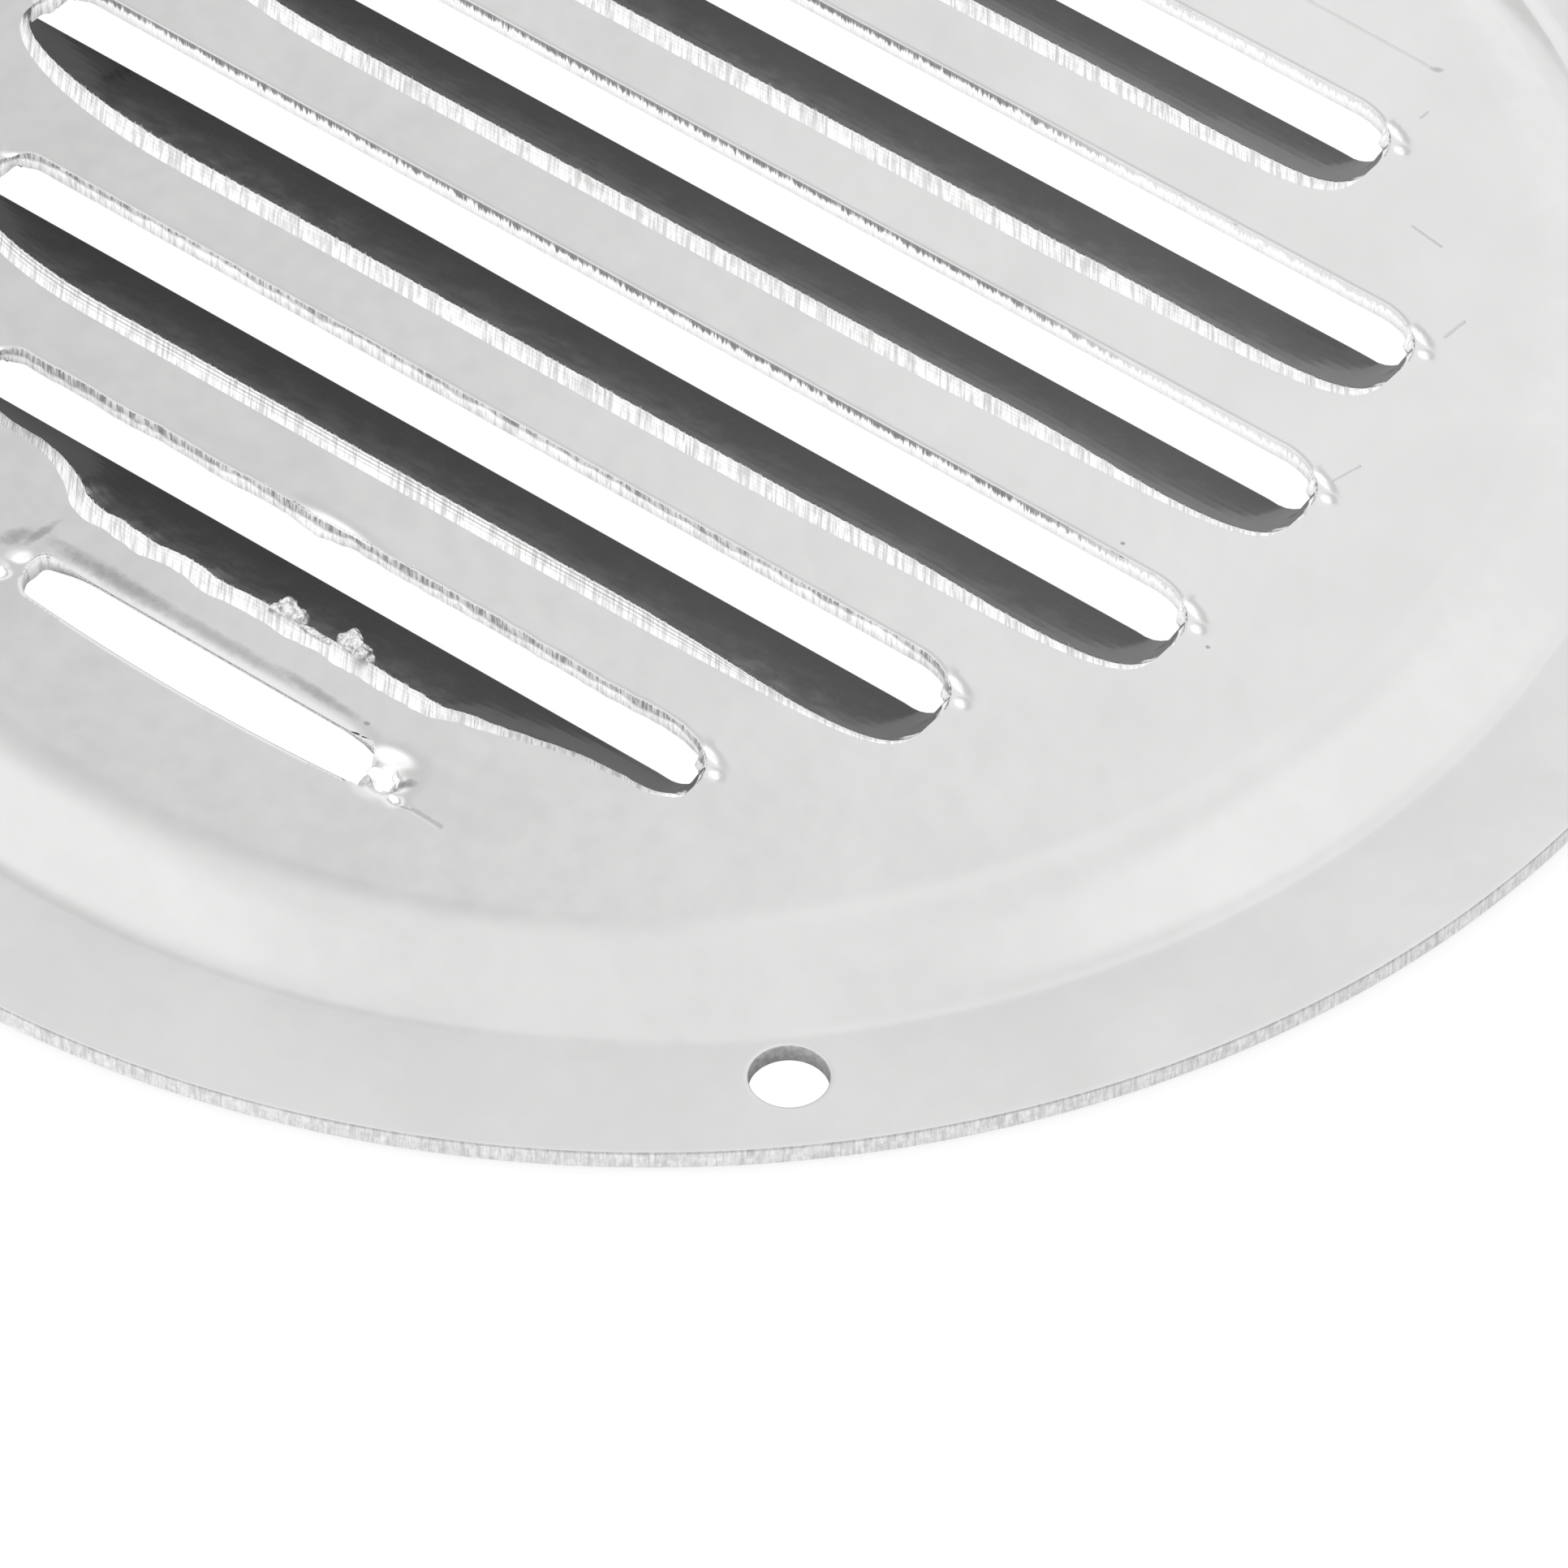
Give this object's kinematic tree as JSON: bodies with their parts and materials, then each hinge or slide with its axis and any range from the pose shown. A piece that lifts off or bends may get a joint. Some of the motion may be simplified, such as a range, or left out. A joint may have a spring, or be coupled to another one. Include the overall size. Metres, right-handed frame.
{
  "type": "round vent cover",
  "caption": "Round stamped steel vent cover: flat rim with screw holes, low raised centre, and parallel louvres whose lips are pressed inward to pass air and shed rain.",
  "frame": {"origin": "centre of the rim, on the plane of the rim's back face", "axes": "+Z out of the face, away from the wall; +X along the louvres; +Y across them, from the lips' bend lines to the sheared edges"},
  "size_m": [0.102, 0.102, 0.0035],
  "materials": {
    "polished_steel": "polished stainless sheet, bright and nearly mirror-like, with bare sheared edges"
  },
  "bodies": {
    "root": {"vent_cover": "polished_steel"}
  },
  "joints": []
}
